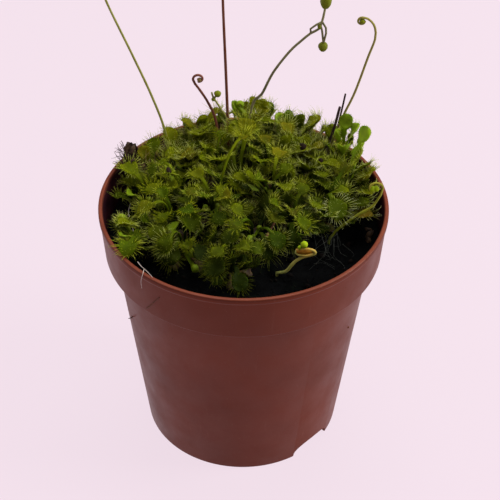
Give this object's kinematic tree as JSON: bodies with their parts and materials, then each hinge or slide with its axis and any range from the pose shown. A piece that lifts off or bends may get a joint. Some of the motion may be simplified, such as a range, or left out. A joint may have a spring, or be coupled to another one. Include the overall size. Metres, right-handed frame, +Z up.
{
  "type": "potted sundew",
  "caption": "Small taper nursery pot of dark peat with a crowded stand of spoon-leaved sundew rosettes and curled flower stalks",
  "frame": {"origin": "middle of the pot's foot, on the surface that the pot stands on", "axes": "+Z up along the pot's axis, +X to the viewer's right, -Y toward the viewer"},
  "size_m": [0.085, 0.085, 0.1442],
  "materials": {
    "pot_plastic": "thin moulded plant-pot plastic in a dull terracotta red-brown with a soft sheen",
    "peat": "damp, almost black peat with fine crumbs",
    "leaf_green": "soft yellow-green leaf with a satin surface and pale tentacles",
    "stalk_green": "smooth satin plant stem, yellow-green",
    "stalk_red": "smooth satin plant stem, red-brown",
    "stalk_grey": "smooth satin plant stem, grey-green",
    "stalk_yellow": "smooth satin plant stem, yellow-green",
    "stub_brown": "dry, dead stem",
    "shoot_cream": "plump pale young shoot"
  },
  "bodies": {
    "root": {"pot": "pot_plastic", "soil": "peat", "rosette_a": "leaf_green", "rosette_b": "leaf_green", "rosette_c": "leaf_green", "rosette_d": "leaf_green", "rosette_e": "leaf_green", "rosette_f": "leaf_green", "rosette_g": "leaf_green", "rosette_h": "leaf_green", "rosette_i": "leaf_green", "rosette_j": "leaf_green", "rosette_k": "leaf_green", "rosette_l": "leaf_green", "rosette_m": "leaf_green", "rosette_n": "leaf_green", "rosette_o": "leaf_green", "rosette_p": "leaf_green", "rosette_q": "leaf_green", "rosette_r": "leaf_green", "rosette_s": "leaf_green", "rosette_t": "leaf_green", "rosette_u": "leaf_green", "rosette_v": "leaf_green", "rosette_w": "leaf_green", "stalk_left": "stalk_green", "stalk_short": "stalk_green", "stalk_middle": "stalk_red", "stalk_hook": "stalk_red", "stalk_right": "stalk_grey", "stalk_far_right": "stalk_grey", "stalk_curled": "stalk_yellow", "stub_dark": "stub_brown", "stub_thin": "stub_brown", "shoot_pale": "shoot_cream"}
  },
  "joints": []
}
